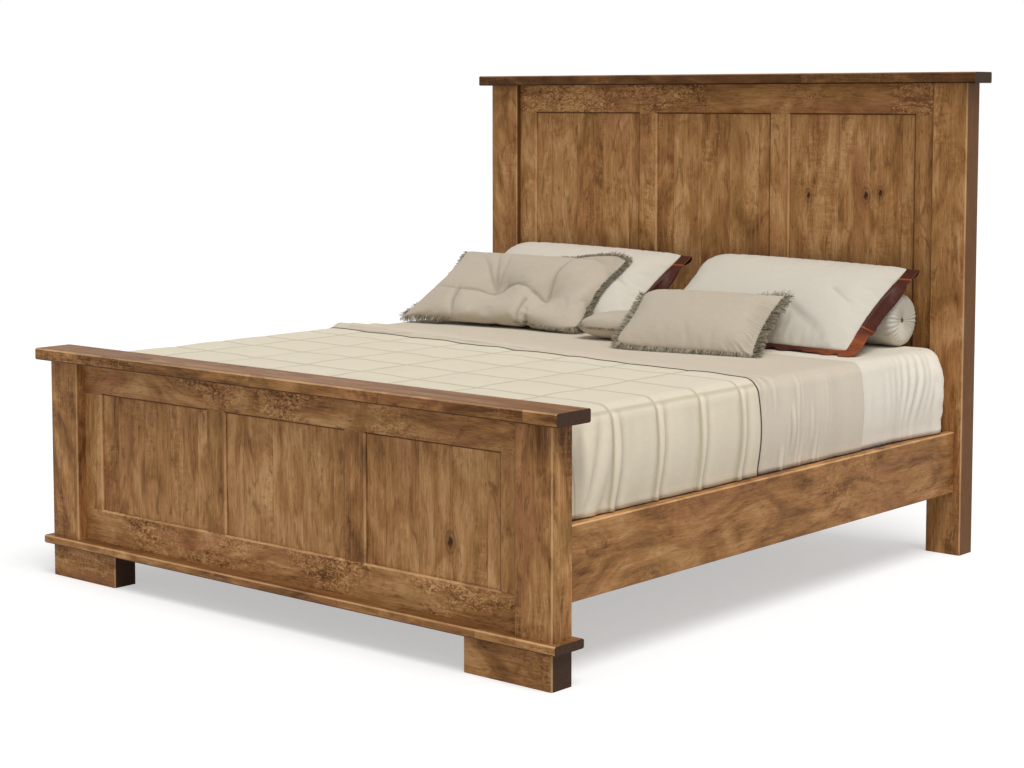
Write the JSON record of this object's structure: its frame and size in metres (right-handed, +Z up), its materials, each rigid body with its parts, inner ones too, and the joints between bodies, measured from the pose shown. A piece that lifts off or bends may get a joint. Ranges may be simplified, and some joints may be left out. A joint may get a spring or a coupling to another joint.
{
  "type": "bed",
  "caption": "Panel bed with a tall headboard and a low footboard under thick caps, side rails, slats and a centre beam, made up with a mattress, sheets, quilt, pillows and cushions.",
  "frame": {"origin": "on the floor, at the middle of the bed's outline", "axes": "+X across the bed to its left side seen from the head, +Y from the foot to the headboard, +Z up"},
  "size_m": [2.18, 2.27, 1.626],
  "materials": {
    "maple": "satin",
    "maple_cap": "satin",
    "pine": "planed",
    "steel": "zinc plated",
    "ticking": "woven",
    "white_sheet": "woven",
    "white_cover": "woven",
    "greige_sheet": "woven",
    "cream_quilt": "quilted",
    "greige_linen": "woven"
  },
  "bodies": {
    "root": {"headboard_post_left": "maple", "headboard_post_right": "maple", "headboard_cap": "maple_cap", "headboard_top_rail": "maple", "headboard_bottom_rail": "maple", "headboard_stile_left": "maple", "headboard_stile_right": "maple", "headboard_mullion_left": "maple", "headboard_mullion_right": "maple", "headboard_panel_left": "maple", "headboard_panel_centre": "maple", "headboard_panel_right": "maple", "footboard_post_left": "maple", "footboard_post_right": "maple", "footboard_cap": "maple_cap", "footboard_top_rail": "maple", "footboard_bottom_rail": "maple", "footboard_stile_left": "maple", "footboard_stile_right": "maple", "footboard_mullion_left": "maple", "footboard_mullion_right": "maple", "footboard_panel_left": "maple", "footboard_panel_centre": "maple", "footboard_panel_right": "maple", "base_board": "maple_cap", "foot_block_left": "maple", "foot_block_right": "maple", "side_rail_left": "maple", "side_rail_right": "maple", "cleat_left": "pine", "cleat_right": "pine", "rail_hook_plates": "steel", "post_slot_plates": "steel", "plate_screws": "steel", "deck_screws": "steel", "dowels": "pine", "slat_01": "pine", "slat_02": "pine", "slat_03": "pine", "slat_04": "pine", "slat_05": "pine", "slat_06": "pine", "slat_07": "pine", "slat_08": "pine", "slat_09": "pine", "slat_10": "pine", "centre_beam": "pine", "centre_legs": "pine", "foundation": "ticking", "mattress": "ticking", "fitted_sheet": "white_sheet", "top_sheet": "greige_sheet", "quilt": "cream_quilt", "sham_left": "white_cover", "sham_right": "white_cover", "bolster": "white_cover", "tufted_cushion": "greige_linen", "lumbar_cushion": "greige_linen", "small_cushion": "greige_linen"}
  },
  "joints": []
}
